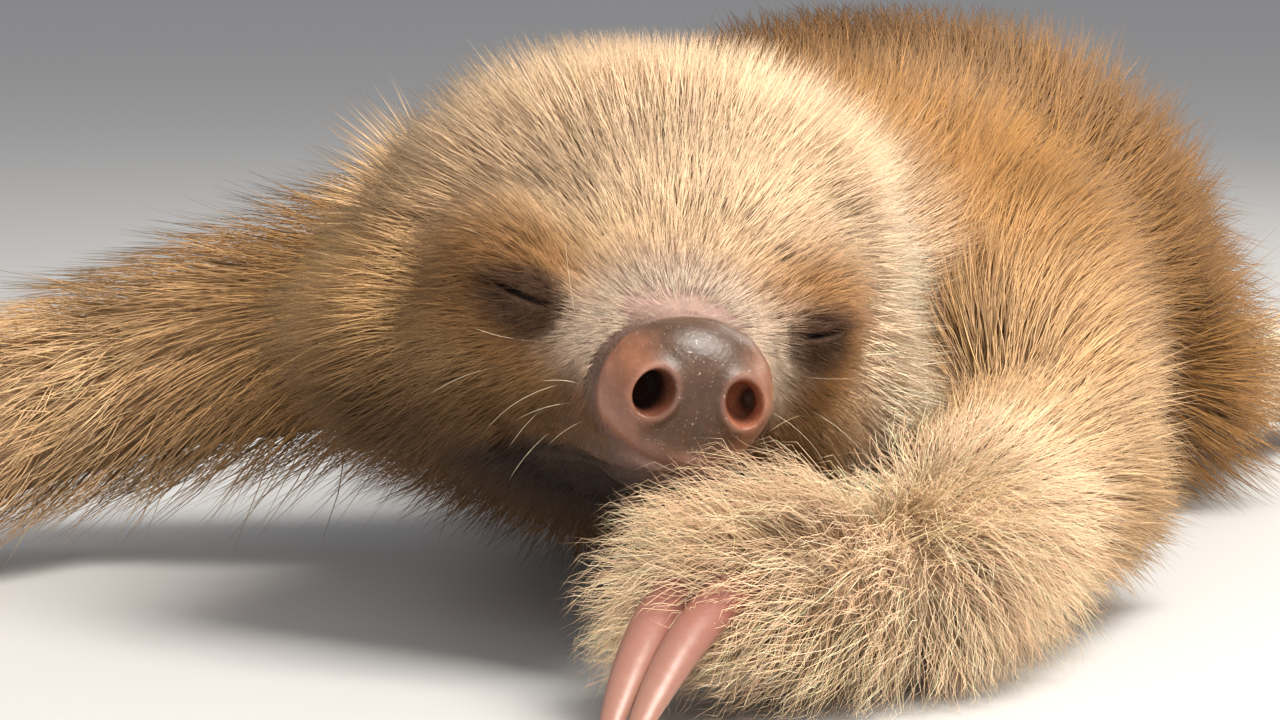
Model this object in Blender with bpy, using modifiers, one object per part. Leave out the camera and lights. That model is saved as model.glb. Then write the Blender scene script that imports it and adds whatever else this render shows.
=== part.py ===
"""A young two-toed sloth asleep on its belly, life size, as one still model.

Every solid reaches out to the tips of the coat. The head lies on the left wrist, the right arm is
stretched out sideways and the hind legs are folded beside the rump. X is the animal's left, -Y is
where the nose points and Z is up; the floor is Z = 0. The flesh is modelled whole and then parted
with thin cuts, so that the pieces meet face to face.
"""

import math

import bmesh
import bpy
from mathutils import Euler, Matrix, Vector

MM = 0.001
CUT = 0.45 * MM  # width of each thin cut between two pieces

# ---------------------------------------------------------------- driving dimensions, in millimetres
NOSE = Vector((5, 0, 34.5))  # centre of the nose pad's face
HEAD_PITCH, HEAD_ROLL, HEAD_YAW = 2, 8.5, 12  # degrees
HEAD_TURN = Euler([math.radians(angle) for angle in (HEAD_PITCH, HEAD_ROLL, HEAD_YAW)]).to_matrix()

NOSE_HALF_WIDTH = 10.1
NOSTRIL_APART = 10.2
NOSTRIL_RADIUS = 1.9
NOSTRIL_DEPTH = 4.5
MUZZLE_LENGTH = 19.0
MOUTH_BELOW_NOSE = 8.3
EYE_APART = 33.0
EYE_BEHIND_NOSE = 18.5
EYE_ABOVE_NOSE = 6.0
EAR_LEFT_OF_NOSE = 35.5  # the coat lies fuller on the left side of the head
EAR_RIGHT_OF_NOSE = 30.0

CLAW_RADIUS = 2.5
HAND_CLAW_LENGTH = 29.0
FOOT_CLAW_LENGTH = 19.0
HAND_CLAW_STEP = 6.6
FOOT_CLAW_STEP = 5.8
HAND_CLAWS_CLOSE = 0.6  # share of the step by which the claws' tips lean together
FOOT_CLAWS_CLOSE = 0.0

# The trunk from the base of the neck to the rump: (x, y, z, half width, half height) over the coat
SPINE = [
    (10, 84, 35, 30, 29),
    (17, 104, 34, 40, 33),
    (25, 128, 34, 43, 34),
    (31, 154, 35, 49, 38),
    (36, 180, 34, 49, 36),
    (39, 203, 30, 44, 31),
    (41, 220, 26, 37, 27),
    (42, 232, 23, 27, 22),
]

# Each limb from the body outwards: (x, y, z, radius over the coat). The first four of its joints
# are where it joins the body, its elbow or knee, its wrist or ankle, and its palm or sole.
ARM_LEFT = [
    (43, 102, 34, 21), (47, 59, 16.5, 16.5), (29, 8, 13, 12.5),
    (18, -3, 14.5, 13), (8, -8, 14.5, 10),
]
ARM_RIGHT = [
    (-10, 108, 36, 23), (-66, 110, 25, 17), (-106, 72, 13, 12.5),
    (-114, 60, 12, 13), (-119, 51, 11, 10),
]
LEG_LEFT = [
    (63, 199, 28, 26), (70, 161, 17, 18), (86, 206, 12.5, 13.5),
    (94, 219, 11.5, 12.5), (100, 227, 10, 10),
]
LEG_RIGHT = [
    (11, 206, 28, 26), (-8, 170, 17, 18), (-15, 217, 12.5, 13.5),
    (-21, 231, 11.5, 12.5), (-26, 240, 10, 10),
]
MUSCLE = 1.4  # how far the middle of a limb bone's flesh swells beyond a plain taper


def mm(x, y, z):
    return Vector((x, y, z)) * MM


# ---------------------------------------------------------------- scene and materials
def clear_scene():
    for obj in list(bpy.data.objects):
        bpy.data.objects.remove(obj, do_unlink=True)


def new_collection(name):
    collection = bpy.data.collections.new(name)
    bpy.context.scene.collection.children.link(collection)
    return collection


def material(name, color, roughness):
    made = bpy.data.materials.new(name)
    made.use_nodes = True
    shader = made.node_tree.nodes["Principled BSDF"]
    shader.inputs["Base Color"].default_value = (*color, 1.0)
    shader.inputs["Roughness"].default_value = roughness
    shader.inputs["Metallic"].default_value = 0.0
    made.diffuse_color = (*color, 1.0)
    return made


clear_scene()
PARTS = new_collection("two_toed_sloth")
CUTTERS = new_collection("cutters")
COAT = material("golden_coat", (0.60, 0.38, 0.20), 0.9)
LIMB_COAT = material("limb_coat", (0.50, 0.31, 0.16), 0.9)
DARK_COAT = material("dark_coat", (0.14, 0.08, 0.045), 0.9)
LID_SKIN = material("eyelid_skin", (0.10, 0.06, 0.045), 0.6)
NOSE_SKIN = material("nose_skin", (0.20, 0.11, 0.085), 0.35)
CLAW_HORN = material("claw_horn", (0.46, 0.22, 0.15), 0.35)


# ---------------------------------------------------------------- modelling tools
def file_under(obj, collection):
    for old in list(obj.users_collection):
        old.objects.unlink(obj)
    collection.objects.link(obj)
    return obj


def add(obj, kind, **values):
    modifier = obj.modifiers.new(kind.lower(), kind)
    for key, value in values.items():
        setattr(modifier, key, value)
    return modifier


def applied(obj):
    """Replaces obj by a plain mesh object of the same name, with its modifiers applied."""
    graph = bpy.context.evaluated_depsgraph_get()
    mesh = bpy.data.meshes.new_from_object(obj.evaluated_get(graph))
    mesh.transform(obj.matrix_world)
    name = obj.name
    bpy.data.objects.remove(obj, do_unlink=True)
    made = bpy.data.objects.new(name, mesh)
    PARTS.objects.link(made)
    return made


def copied(obj, name):
    copy = obj.copy()
    copy.data = obj.data.copy()
    copy.name = name
    PARTS.objects.link(copy)
    return copy


def ellipsoid(center, radii, turn=Matrix.Identity(3), segments=30):
    """An ellipsoid by its centre and three radii in millimetres, turned by a rotation matrix."""
    bpy.ops.mesh.primitive_uv_sphere_add(
        segments=segments,
        ring_count=segments // 2,
        radius=MM,
        location=mm(*center),
        rotation=turn.to_euler(),
    )
    lump = bpy.context.object
    lump.scale = radii
    bpy.ops.object.transform_apply(location=True, rotation=True, scale=True)
    return lump


def cone(start, start_radius, end, end_radius, sides=28):
    """A tapered round bar between two points, in millimetres."""
    along = Vector(end) - Vector(start)
    bpy.ops.mesh.primitive_cone_add(
        vertices=sides,
        radius1=start_radius * MM,
        radius2=end_radius * MM,
        depth=along.length * MM,
        location=(Vector(start) + along / 2) * MM,
        rotation=along.to_track_quat("Z", "Y").to_euler(),
    )
    bar = bpy.context.object
    bpy.ops.object.transform_apply(location=True, rotation=True, scale=True)
    return bar


def strung(stations, steps):
    """Stations on a smooth curve through those given, with `steps` of them for each stretch."""
    ends = [stations[0]] + stations + [stations[-1]]
    made = []
    for before, start, end, after in zip(ends, ends[1:], ends[2:], ends[3:]):
        for step in range(steps):
            t = step / steps
            made.append(
                [
                    b + t * ((c - a) / 2 + t * (a - 2.5 * b + 2 * c - d / 2 + t * (1.5 * (b - c) + (d - a) / 2)))
                    for a, b, c, d in zip(before, start, end, after)
                ]
            )
    return made + [stations[-1]]


def limb_lumps(joints, steps=6):
    """Round lumps strung straight from joint to joint, with a swell in the middle of each bone."""
    lumps = [ellipsoid(joints[-1][:3], joints[-1][3:] * 3, segments=24)]
    for start, end in zip(joints, joints[1:]):
        for step in range(steps):
            t = step / steps
            x, y, z, radius = [a + (b - a) * t for a, b in zip(start, end)]
            radius += MUSCLE * math.sin(math.pi * t)
            lumps.append(ellipsoid((x, y, z), (radius,) * 3, segments=24))
    return lumps


def melted(name, lumps, voxel, rounds, most):
    """Lumps melted into one smooth closed form of about `most` triangles."""
    bpy.ops.object.select_all(action="DESELECT")
    for lump in lumps:
        lump.select_set(True)
    bpy.context.view_layer.objects.active = lumps[0]
    bpy.ops.object.join()
    form = bpy.context.object
    form.name = name
    add(form, "REMESH", mode="VOXEL", voxel_size=voxel * MM)
    add(form, "SMOOTH", factor=0.5, iterations=rounds)
    form = applied(form)
    form.data.calc_loop_triangles()
    share = min(1.0, most / len(form.data.loop_triangles))
    add(form, "DECIMATE", ratio=share, use_collapse_triangulate=True)
    return applied(form)


def halved(obj, point, normal, name):
    """A copy of obj with all that lies past a plane cut off, less half a cut, and the face closed."""
    normal = Vector(normal).normalized()
    copy = copied(obj, name)
    work = bmesh.new()
    work.from_mesh(copy.data)
    sliced = bmesh.ops.bisect_plane(
        work,
        geom=work.verts[:] + work.edges[:] + work.faces[:],
        plane_co=Vector(point) * MM - normal * CUT / 2,
        plane_no=normal,
        clear_outer=True,
    )
    rim = [edge for edge in sliced["geom_cut"] if isinstance(edge, bmesh.types.BMEdge)]
    bmesh.ops.edgeloop_fill(work, edges=rim)
    bmesh.ops.recalc_face_normals(work, faces=work.faces[:])
    work.to_mesh(copy.data)
    work.free()
    return copy


def parted(obj, point, normal, near, far):
    """obj cut in two at a plane, as a near piece and a far piece."""
    near_piece = halved(obj, point, normal, near)
    far_piece = halved(obj, point, -Vector(normal), far)
    bpy.data.objects.remove(obj, do_unlink=True)
    return near_piece, far_piece


def drop_crumbs(obj):
    """Keeps the largest body of a mesh, where a cut has left crumbs beside it."""
    work = bmesh.new()
    work.from_mesh(obj.data)
    unseen = set(work.verts)
    bodies = []
    while unseen:
        reached = [unseen.pop()]
        for vert in reached:
            for edge in vert.link_edges:
                other = edge.other_vert(vert)
                if other in unseen:
                    unseen.remove(other)
                    reached.append(other)
        bodies.append(reached)
    bodies.sort(key=len)
    for crumb in bodies[:-1]:
        bmesh.ops.delete(work, geom=crumb, context="VERTS")
    work.to_mesh(obj.data)
    work.free()


def carved(obj, *others, grow=CUT):
    """obj with the others cut away, and a thin gap left round them."""
    name = obj.name
    for other in others:
        cutter = copied(other, "cutter_" + other.name)
        add(cutter, "DISPLACE", strength=grow, mid_level=0.0)
        cutter = applied(cutter)
        file_under(cutter, CUTTERS)
        cutter.hide_render = True
        cutter.display_type = "WIRE"
        add(obj, "BOOLEAN", operation="DIFFERENCE", object=cutter, solver="EXACT")
        obj = applied(obj)
        obj.name = name
    drop_crumbs(obj)
    return obj


def finished(obj, name, surface):
    obj.name = name
    obj.data.materials.clear()
    obj.data.materials.append(surface)
    obj.data.shade_smooth()
    return obj


# ---------------------------------------------------------------- head, neck and trunk, as one form
def at_head(left, back, up):
    """A point of the head's own axes, counted from the nose pad, on the floor's axes."""
    return NOSE + HEAD_TURN @ Vector((left, back, up))


def head_lump(center, radii, turn=Matrix.Identity(3), segments=30):
    return ellipsoid(at_head(*center), radii, HEAD_TURN @ turn, segments)


NAPE = at_head(0, 66, 2)
WITHERS = Vector(SPINE[0][:3])
NECK_RADIUS = 29
head_backward = HEAD_TURN @ Vector((0, 1, 0))
head_up = HEAD_TURN @ Vector((0, 0, 1))
body_backward = (Vector(SPINE[1][:3]) - WITHERS).normalized()

flesh = [
    # crown, cheeks and throat, jaws, forehead, root of the muzzle, muzzle and chin
    head_lump((4.5, 48, 7.5), (34.5, 30, 28)),
    head_lump((1, 45, -3), (42, 29, 24)),
    head_lump((0, 30, -5), (27, 17, 15)),
    head_lump((0, 29, 5), (24, 15, 15)),
    head_lump((0, 17.5, -1.5), (15.5, 10, 12)),
    head_lump((0, 13, -2.5), (12.5, 14, 10.5)),
    head_lump((0, 9, -8.5), (10, 11, 6.5)),
]
for x, y, z, half_width, half_height in strung(SPINE, 4):
    turn = Matrix.Rotation(math.atan2(-body_backward.x, body_backward.y), 3, "Z")
    flesh.append(ellipsoid((x, y, z), (half_width, 17, half_height), turn))
flesh += limb_lumps([(*NAPE, NECK_RADIUS), (*WITHERS, NECK_RADIUS)])
torso = melted("torso", flesh, voxel=1.4, rounds=12, most=1850)
full_head, behind_head = parted(torso, NAPE, head_backward, "full_head", "behind_head")
neck, trunk = parted(behind_head, WITHERS + body_backward * 4, body_backward, "neck", "trunk")

# ---------------------------------------------------------------- arms and legs
def arm(joints, side):
    """An arm melted whole from its joints, then parted at the elbow and the wrist."""
    form = melted("arm", limb_lumps(joints), voxel=1.2, rounds=8, most=400)
    points = [Vector(joint[:3]) for joint in joints]
    upper, lower, last = [(b - a).normalized() for a, b in zip(points, points[1:4])]
    top, rest = parted(form, points[1], upper + lower, "upper_arm_" + side, "rest")
    middle, end = parted(rest, points[2], lower + last, "forearm_" + side, "hand_" + side)
    return top, middle, end


def leg(joints, side):
    """A folded leg: the shank is cut to the thigh that it lies against, and the foot to the shank."""
    thigh = melted("thigh_" + side, limb_lumps(joints[:2]), voxel=1.4, rounds=8, most=170)
    shank = melted("shank_" + side, limb_lumps(joints[1:3]), voxel=1.2, rounds=8, most=170)
    foot = melted("foot_" + side, limb_lumps(joints[2:]), voxel=1.0, rounds=8, most=170)
    shank = carved(shank, thigh)
    return thigh, shank, carved(foot, thigh, shank)


upper_arm_left, forearm_left, hand_left = arm(ARM_LEFT, "left")
upper_arm_right, forearm_right, hand_right = arm(ARM_RIGHT, "right")
thigh_left, shank_left, foot_left = leg(LEG_LEFT, "left")
thigh_right, shank_right, foot_right = leg(LEG_RIGHT, "right")

# The neck and head are cut to the arms that they lie on, and then the limbs to the trunk.
neck = carved(neck, upper_arm_left, upper_arm_right)
full_head = carved(full_head, upper_arm_left, upper_arm_right, forearm_left, hand_left)
upper_arm_left = carved(upper_arm_left, trunk)
upper_arm_right = carved(upper_arm_right, trunk)
thigh_left = carved(thigh_left, trunk)
thigh_right = carved(thigh_right, trunk)
shank_left = carved(shank_left, trunk)
shank_right = carved(shank_right, trunk)
foot_left = carved(foot_left, trunk)
foot_right = carved(foot_right, trunk)

# ---------------------------------------------------------------- muzzle, jaw, nose, eyes and ears
muzzle, head = parted(full_head, at_head(0, MUZZLE_LENGTH, 0), head_backward, "muzzle", "head")
lower_jaw, snout = parted(muzzle, at_head(0, 0, -MOUTH_BELOW_NOSE), head_up, "lower_jaw", "snout")

nose = melted(
    "nose",
    [
        head_lump((0, 4, 0.1), (NOSE_HALF_WIDTH, 5, 7.8)),
        head_lump((NOSTRIL_APART / 2, 3.4, -0.6), (4.8, 5, 5.2)),
        head_lump((-NOSTRIL_APART / 2, 3.4, -0.6), (4.8, 5, 5.2)),
    ],
    voxel=0.6,
    rounds=3,
    most=240,
)
snout = carved(snout, nose)
lower_jaw = carved(lower_jaw, nose)
for side in (-1, 1):
    mouth_of_nostril = at_head(side * NOSTRIL_APART / 2, -3, -0.8)
    end_of_nostril = at_head(side * NOSTRIL_APART / 2 * 0.8, NOSTRIL_DEPTH - 1.6, -0.8)
    bore = cone(mouth_of_nostril, NOSTRIL_RADIUS, end_of_nostril, NOSTRIL_RADIUS * 0.8, sides=12)
    bore.name = "nostril_bore"
    nose = carved(nose, bore, grow=0)
    bpy.data.objects.remove(bore, do_unlink=True)

# A shallow dell in the coat round each closed eye, and the rounded lid that fills most of it
eyes = []
ears = []
for side, word, ear_aside in ((1, "left", EAR_LEFT_OF_NOSE), (-1, "right", -EAR_RIGHT_OF_NOSE)):
    eye_point = (side * EYE_APART / 2, EYE_BEHIND_NOSE, EYE_ABOVE_NOSE)
    out = Matrix.Rotation(math.radians(side * 38), 3, "Z")
    dell = head_lump((eye_point[0] * 1.12, eye_point[1] - 5.0, eye_point[2]), (7.5, 5.2, 5.6), out, 14)
    dell.name = "dell"
    head = carved(head, dell, grow=0)
    snout = carved(snout, dell, grow=0)
    bpy.data.objects.remove(dell, do_unlink=True)
    eye = head_lump(eye_point, (5.4, 4.2, 4.0), out, 14)
    eye.name = "eye"
    head = carved(head, eye)
    snout = carved(snout, eye)
    eyes.append(finished(eye, "eye_" + word, LID_SKIN))
    ear_turn = Matrix.Rotation(math.radians(side * 20), 3, "Z")
    ear = head_lump((ear_aside, 57, 10), (3.2, 6.2, 5.6), ear_turn, 12)
    ear.name = "ear"
    head = carved(head, ear)
    ears.append(finished(ear, "ear_" + word, COAT))


# ---------------------------------------------------------------- claws
def claw(root, tip, arch, name):
    """A curved claw, thick at its root in the toe and pointed at its tip on the floor."""
    curve = bpy.data.curves.new(name, "CURVE")
    curve.dimensions = "3D"
    curve.bevel_depth = CLAW_RADIUS * MM
    curve.bevel_resolution = 1
    curve.use_fill_caps = True
    spline = curve.splines.new("POLY")
    steps = 9
    spline.points.add(steps - 1)
    for i, point in enumerate(spline.points):
        t = i / (steps - 1)
        place = root.lerp(tip, t) + Vector((0, 0, arch * 4 * t * (1 - t)))
        point.co = (*(place * MM), 1)
        point.radius = 1.0 - 0.2 * t - 0.58 * t**4
    obj = bpy.data.objects.new(name, curve)
    PARTS.objects.link(obj)
    bpy.context.view_layer.update()
    obj = applied(obj)
    work = bmesh.new()
    work.from_mesh(obj.data)
    bmesh.ops.remove_doubles(work, verts=work.verts[:], dist=0.01 * MM)
    bmesh.ops.recalc_face_normals(work, faces=work.faces[:])
    work.to_mesh(obj.data)
    work.free()
    return obj


def armed(paw, joints, heading, count, length, step, close):
    """The paw with its row of claws, which lie side by side and point along a heading."""
    knuckles = Vector(joints[-1][:3])
    forward = Vector((math.cos(math.radians(heading)), math.sin(math.radians(heading)), 0))
    across = Vector((-forward.y, forward.x, 0))
    claws = []
    for i in range(count):
        aside = across * step * (i - (count - 1) / 2)
        root = knuckles + aside + forward * 3
        tip = root - aside * close + forward * length
        tip.z = CLAW_RADIUS * 0.15
        claws.append(claw(root, tip, 2.6, f"{paw.name}_claw_{i + 1}"))
    return carved(paw, *claws), claws


hand_left, claws = armed(hand_left, ARM_LEFT, -112, 2, HAND_CLAW_LENGTH, HAND_CLAW_STEP, HAND_CLAWS_CLOSE)
pieces = [(hand_left, LIMB_COAT)]
hand_right, more = armed(hand_right, ARM_RIGHT, -116, 2, HAND_CLAW_LENGTH, HAND_CLAW_STEP, HAND_CLAWS_CLOSE)
pieces.append((hand_right, LIMB_COAT))
claws += more
foot_left, more = armed(foot_left, LEG_LEFT, 78, 3, FOOT_CLAW_LENGTH, FOOT_CLAW_STEP, FOOT_CLAWS_CLOSE)
pieces.append((foot_left, LIMB_COAT))
claws += more
foot_right, more = armed(foot_right, LEG_RIGHT, 106, 3, FOOT_CLAW_LENGTH, FOOT_CLAW_STEP, FOOT_CLAWS_CLOSE)
pieces.append((foot_right, LIMB_COAT))
claws += more

# ---------------------------------------------------------------- rest on the floor, and the origin
pieces += [(head, COAT), (neck, COAT), (trunk, COAT)]
pieces += [(snout, DARK_COAT), (lower_jaw, DARK_COAT), (nose, NOSE_SKIN)]
pieces += [(upper_arm_left, LIMB_COAT), (forearm_left, LIMB_COAT)]
pieces += [(upper_arm_right, LIMB_COAT), (forearm_right, LIMB_COAT)]
pieces += [(thigh_left, LIMB_COAT), (shank_left, LIMB_COAT)]
pieces += [(thigh_right, LIMB_COAT), (shank_right, LIMB_COAT)]
pieces += [(claw_piece, CLAW_HORN) for claw_piece in claws]
solids = eyes + ears
for piece, surface in pieces:
    rested = halved(piece, (0, 0, -CUT / MM / 2), (0, 0, -1), piece.name + "_rested")
    name = piece.name
    bpy.data.objects.remove(piece, do_unlink=True)
    drop_crumbs(rested)
    solids.append(finished(rested, name, surface))

corners = [vertex.co for solid in solids for vertex in solid.data.vertices]
low = Vector(min(co[axis] for co in corners) for axis in range(3))
high = Vector(max(co[axis] for co in corners) for axis in range(3))
middle = (low + high) / 2
for solid in solids:
    solid.data.transform(Matrix.Translation((-middle.x, -middle.y, 0)))
print("size in mm", [round(side / MM, 1) for side in high - low])
print("nose pad at", [round(value, 2) for value in NOSE - middle / MM])
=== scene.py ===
"""An infant Hoffmann's two-toed sloth asleep on its belly, with its skin, nose, lids, claws and coat."""
import math

import bmesh
import bpy
import numpy as np
from mathutils import Euler, Matrix, Vector
from mathutils.bvhtree import BVHTree
from mathutils.kdtree import KDTree


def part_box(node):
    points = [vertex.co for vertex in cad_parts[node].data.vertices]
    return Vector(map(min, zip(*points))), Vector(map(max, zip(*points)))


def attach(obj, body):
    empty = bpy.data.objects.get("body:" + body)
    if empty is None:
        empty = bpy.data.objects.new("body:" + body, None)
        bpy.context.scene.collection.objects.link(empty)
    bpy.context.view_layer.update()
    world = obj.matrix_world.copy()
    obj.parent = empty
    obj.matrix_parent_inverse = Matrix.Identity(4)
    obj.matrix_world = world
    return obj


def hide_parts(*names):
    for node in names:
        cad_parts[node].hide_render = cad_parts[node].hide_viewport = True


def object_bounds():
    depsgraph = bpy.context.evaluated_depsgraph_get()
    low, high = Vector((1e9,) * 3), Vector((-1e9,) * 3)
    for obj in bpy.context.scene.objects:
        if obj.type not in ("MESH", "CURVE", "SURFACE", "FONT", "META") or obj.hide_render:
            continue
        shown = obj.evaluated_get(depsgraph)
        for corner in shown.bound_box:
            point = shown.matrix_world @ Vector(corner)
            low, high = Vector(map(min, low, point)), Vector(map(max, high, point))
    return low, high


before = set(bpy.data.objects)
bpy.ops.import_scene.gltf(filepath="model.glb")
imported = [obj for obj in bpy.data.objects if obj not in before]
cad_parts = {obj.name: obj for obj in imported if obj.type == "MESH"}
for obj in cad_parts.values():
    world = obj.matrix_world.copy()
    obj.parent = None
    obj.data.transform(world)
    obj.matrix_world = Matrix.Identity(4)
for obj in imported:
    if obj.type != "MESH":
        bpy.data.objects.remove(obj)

solids_low, solids_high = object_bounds()
MM = 0.001

# ---------------------------------------------------------------- camera
# A long lens half a metre in front of the sleeping face and a little above it, level with the
# crown, looking slightly down.
nose_low, nose_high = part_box("nose")
NOSE = Vector(((nose_low[0] + nose_high[0]) / 2, nose_low[1], (nose_low[2] + nose_high[2]) / 2))
PAD_FROM_ITS_BOX = Vector((0.8, 2.5, -0.4)) * MM
NOSE += PAD_FROM_ITS_BOX
CAMERA_ASIDE = 5.8 * MM
CAMERA_BACK = 0.497
CAMERA_HEIGHT = 0.0898
CAMERA_DOWN = math.radians(6)
LONG_LENS = 130
lens = bpy.data.cameras.new("camera")
lens.sensor_width = 36
lens.lens = LONG_LENS
lens.clip_start = 0.01


def placed(name, data):
    """An object of the scene that holds a mesh, a lens or a lamp."""
    made = bpy.data.objects.new(name, data)
    bpy.context.scene.collection.objects.link(made)
    return made


camera = placed("camera", lens)
camera.location = (NOSE.x - CAMERA_ASIDE, NOSE.y - CAMERA_BACK, CAMERA_HEIGHT)
camera.rotation_euler = (math.radians(90) - CAMERA_DOWN, 0, 0)
bpy.context.scene.camera = camera

# ---------------------------------------------------------------- skin
# The animal's whole skin, under the coat: loose and tan on the body, dark and thin-haired on the
# face, bare and moist on the nose. It is the flesh of the solids drawn in by the coat's depth and
# melted into one closed surface, and then the nostrils, mouth, lids and folds are pressed in.
HEAD_TIP, HEAD_TILT, HEAD_YAW = 2, 8.5, 12
HEAD_TURN = np.array(Euler([math.radians(a) for a in (HEAD_TIP, HEAD_TILT, HEAD_YAW)]).to_matrix())
HEAD_ORIGIN = np.array(NOSE)
BODY_ASIDE = 5 * MM
BODY_SHIFT = np.array((NOSE.x - BODY_ASIDE, NOSE.y, 0))


def rise(low, high, value):
    """A smooth step from 0 at low to 1 at high."""
    t = np.clip((value - low) / (high - low), 0, 1)
    return t * t * (3 - 2 * t)


def ridge(value, middle, width):
    """A smooth rounded ridge, 1 at the middle and almost 0 two widths away."""
    return np.exp(-(((value - middle) / width) ** 2))


def head_frame(points):
    """Places in the head's own axes, in millimetres from the nose pad: left, back and up."""
    return (points - HEAD_ORIGIN) @ HEAD_TURN / MM


def head_place(left, back, up):
    return HEAD_ORIGIN + HEAD_TURN @ np.array((left, back, up)) * MM


def floor_place(x, y, z):
    """A place in millimetres, across and behind the nose and above the floor."""
    return BODY_SHIFT + np.array((x, y, z)) * MM


def numbers(items, name, width, kind=np.int32):
    """One row of numbers for each of a mesh's points, edges or faces."""
    flat = np.empty(len(items) * width, kind)
    items.foreach_get(name, flat)
    return flat.reshape(-1, width)


def mesh_points(mesh):
    return numbers(mesh.vertices, "co", 3, np.float32).astype(float)


def mesh_normals(mesh):
    return numbers(mesh.vertex_normals, "vector", 3, np.float32).astype(float)


def set_points(mesh, points):
    mesh.vertices.foreach_set("co", points.astype(np.float32).ravel())
    mesh.update()


def relaxed(mesh, points, rounds, weight=0.5):
    """Points drawn towards the mean of their neighbours."""
    edges = numbers(mesh.edges, "vertices", 2)
    ends = np.concatenate((edges[:, 0], edges[:, 1]))
    others = np.concatenate((edges[:, 1], edges[:, 0]))
    count = np.maximum(np.bincount(ends, minlength=len(points)), 1)
    weight = np.broadcast_to(weight, len(points))
    for _ in range(rounds):
        mean = [np.bincount(ends, points[others, axis], len(points)) / count for axis in range(3)]
        points = points + (np.stack(mean, 1) - points) * weight[:, None]
    return points


def evaluated(obj):
    """Replaces obj's mesh by what its modifiers make of it."""
    graph = bpy.context.evaluated_depsgraph_get()
    mesh = bpy.data.meshes.new_from_object(obj.evaluated_get(graph))
    obj.modifiers.clear()
    old = obj.data
    obj.data = mesh
    bpy.data.meshes.remove(old)


def remeshed(obj, voxel):
    modifier = obj.modifiers.new("remesh", "REMESH")
    modifier.mode = "VOXEL"
    modifier.voxel_size = voxel
    evaluated(obj)


def lump(group, place, radii, turn, segments=24):
    """Adds a ball of flesh, with its own three radii, to a group of balls."""
    ball = Matrix.Translation(Vector(place)) @ Matrix(turn).to_4x4()
    ball = ball @ Matrix.Diagonal((*[radius * MM for radius in radii], 1))
    work = bmesh.new()
    bmesh.ops.create_uvsphere(work, u_segments=segments, v_segments=segments // 2, radius=1, matrix=ball)
    mesh = bpy.data.meshes.new("lump")
    work.to_mesh(mesh)
    work.free()
    group.append(bpy.data.objects.new("lump", mesh))


def one_object(name, group):
    """All the objects of a group as one, with the group used up."""
    work = bmesh.new()
    for part in group:
        work.from_mesh(part.data)
        bpy.data.objects.remove(part, do_unlink=True)
    mesh = bpy.data.meshes.new(name)
    work.to_mesh(mesh)
    work.free()
    return placed(name, mesh)


def drawn_in(obj, depth_of, voxel):
    """Draws a solid's surface in by the coat's depth, a little at a time."""
    remeshed(obj, voxel)
    points = relaxed(obj.data, mesh_points(obj.data), 8)
    depth = depth_of(points) * MM
    steps = 5
    for _ in range(steps):
        set_points(obj.data, points)
        points = points - mesh_normals(obj.data) * (depth / steps)[:, None]
        points = relaxed(obj.data, points, 2, 0.35)
    set_points(obj.data, points)


def on_floor(points):
    """The coat is pressed thin where the animal lies on it."""
    return 0.3 + 0.7 * rise(1, 13, points[:, 2] / MM)


def body_coat_depth(points):
    """Depth of the coat over the head, neck and trunk, in millimetres."""
    left, back, up = head_frame(points).T
    from_muzzle = np.sqrt(left**2 + (back - 5) ** 2 + (up + 2) ** 2)
    head = 0.7 + 1.3 * rise(11, 20, from_muzzle) + 6.5 * rise(21, 40, from_muzzle)
    head = head + 2.5 * rise(24, 38, np.abs(left)) * rise(10, 25, back)
    whole = head + (9.5 - head) * rise(48, 78, back)
    return whole * on_floor(points)


STRAIGHT = np.eye(3)
HEAD_LUMPS = [
    # centre left, back and up from the nose, then the three radii, out to the tips of the coat
    ((4.5, 48, 7.5), (34.5, 30, 28)),
    ((1, 45, -3), (42, 29, 24)),
    ((0, 30, -5), (27, 17, 15)),
    ((0, 29, 5), (24, 15, 15)),
    ((0, 17.5, -1.5), (15.5, 10, 12)),
    ((0, 13, -2.5), (12.5, 14, 10.5)),
    ((0, 9, -8.5), (10, 11, 6.5)),
]
SPINE = [
    # place over the floor, half width and half height, out to the tips of the coat
    (10, 84, 35, 30, 29),
    (17, 104, 34, 40, 33),
    (25, 128, 34, 43, 34),
    (31, 154, 35, 49, 38),
    (36, 180, 34, 49, 36),
    (39, 203, 30, 44, 31),
    (41, 220, 26, 37, 27),
    (42, 230, 23, 27, 22),
]
LIMBS = {
    # each limb's joints from the body outwards, with the flesh's radius and the coat's depth there
    "arm_left": [(43, 102, 34, 14, 8), (47, 59, 15.5, 10, 7), (29, 8, 12, 7.5, 6),
                 (18, -3, 12.5, 7.5, 7.5), (8, -8, 12, 6.5, 6)],
    "arm_right": [(-10, 108, 36, 15, 8), (-66, 110, 24, 10.5, 7), (-106, 72, 12.5, 7.5, 5),
                  (-114, 60, 12, 7.5, 5.5), (-119, 51, 11, 6.5, 4)],
    "leg_left": [(63, 199, 28, 18, 8), (70, 161, 16, 11.5, 7), (86, 206, 12, 7.5, 5),
                 (94, 219, 11.5, 7.5, 5), (100, 227, 10, 6.5, 4)],
    "leg_right": [(11, 206, 28, 18, 8), (-8, 170, 16, 11.5, 7), (-15, 217, 12, 7.5, 5),
                  (-21, 231, 11.5, 7.5, 5), (-26, 240, 10, 6.5, 4)],
}

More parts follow.
